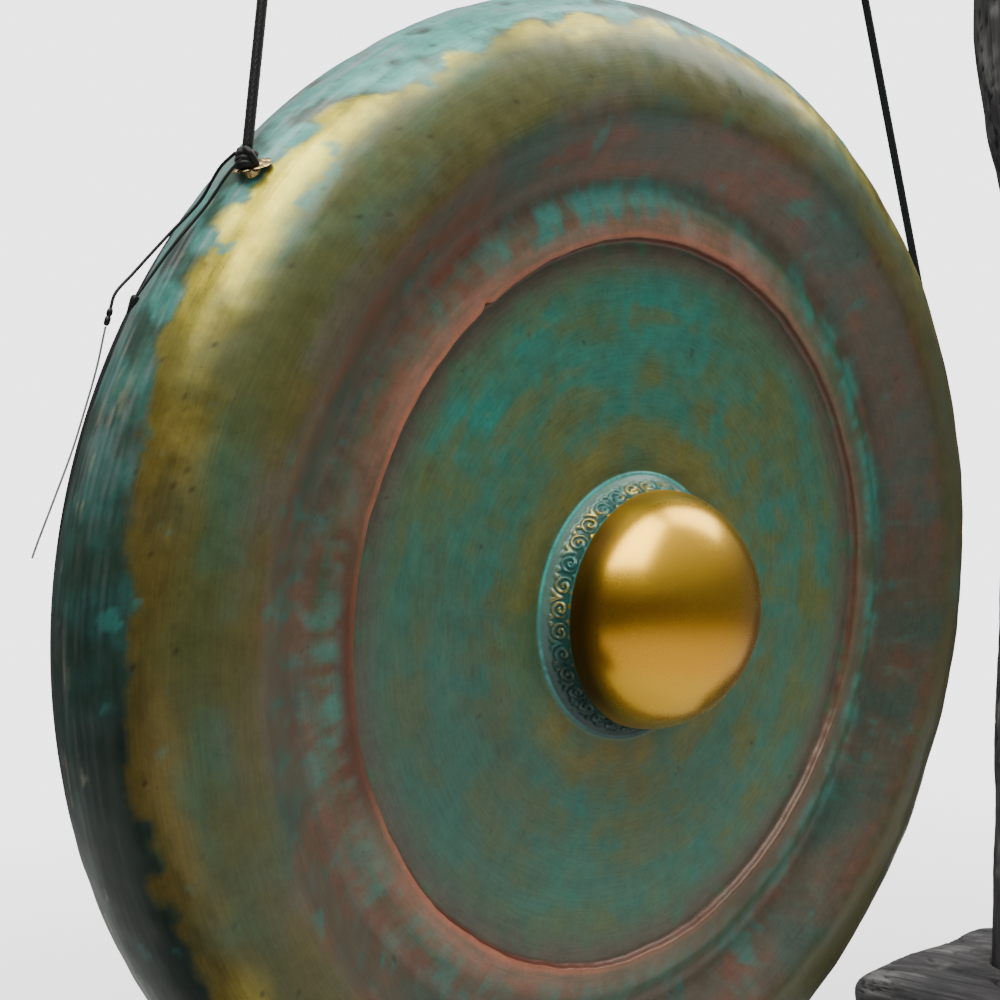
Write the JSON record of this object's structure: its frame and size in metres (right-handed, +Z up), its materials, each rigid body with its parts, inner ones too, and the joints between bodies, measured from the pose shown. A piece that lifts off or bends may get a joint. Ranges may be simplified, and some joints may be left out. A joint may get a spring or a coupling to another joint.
{
  "type": "gong on stand",
  "caption": "Bossed hanging gong with a patinated face and gilded boss, hung by braided cords from a natural wood stand.",
  "frame": {"origin": "on the ground under the middle of the stand", "axes": "+Z up, the struck face looks along -Y, +X along the crossbar to the right as the striker sees it"},
  "size_m": [0.676, 0.14, 0.6325],
  "materials": {
    "gong_bronze": "hammered bronze under a mottled teal, brown and olive-gold patina, gilded boss, satin lacquer",
    "eyelet_brass": "stamped bright brass",
    "hanging_braid": "fine round black braid",
    "tag_string": "black waxed string",
    "tag_plastic": "black moulded",
    "tag_nylon": "translucent grey nylon",
    "driftwood": "weathered dark grey, open cracked grain",
    "peg_wood": "plain dowel end grain",
    "screw_steel": "zinc plated",
    "felt": "dense black felt"
  },
  "bodies": {
    "stand": {"crossbar": "driftwood", "left_post": "driftwood", "left_foot": "driftwood", "left_bar_lashing": "hanging_braid", "left_bar_peg": "peg_wood", "left_foot_screw": "screw_steel", "left_front_pad": "felt", "left_back_pad": "felt", "right_post": "driftwood", "right_foot": "driftwood", "right_bar_lashing": "hanging_braid", "right_bar_peg": "peg_wood", "right_foot_screw": "screw_steel", "right_front_pad": "felt", "right_back_pad": "felt"},
    "cords": {"left_rim_knot": "hanging_braid", "left_hanging_cord": "hanging_braid", "left_bar_knot": "hanging_braid", "right_rim_knot": "hanging_braid", "right_hanging_cord": "hanging_braid", "right_bar_knot": "hanging_braid"},
    "gong": {"gong_shell": "gong_bronze", "left_rim_eyelet": "eyelet_brass", "left_eyelet_washer": "eyelet_brass", "left_stopper_knot": "hanging_braid", "right_rim_eyelet": "eyelet_brass", "right_eyelet_washer": "eyelet_brass", "right_stopper_knot": "hanging_braid", "tag_string_long": "tag_string", "tag_string_short": "tag_string", "tag_clip": "tag_plastic", "tag_barb": "tag_plastic", "tag_filament": "tag_nylon"}
  },
  "joints": [
    {"name": "cords_swing", "type": "hinge", "parent": "stand", "child": "cords", "pos_m": [0, 0, 0.583], "axis": [1, 0, 0], "range_deg": [-15, 15]},
    {"name": "gong_rock", "type": "hinge", "parent": "cords", "child": "gong", "pos_m": [0.01827, 0, 0.33419], "axis": [0.9863, 0, -0.165], "range_deg": [-20, 20]}
  ]
}
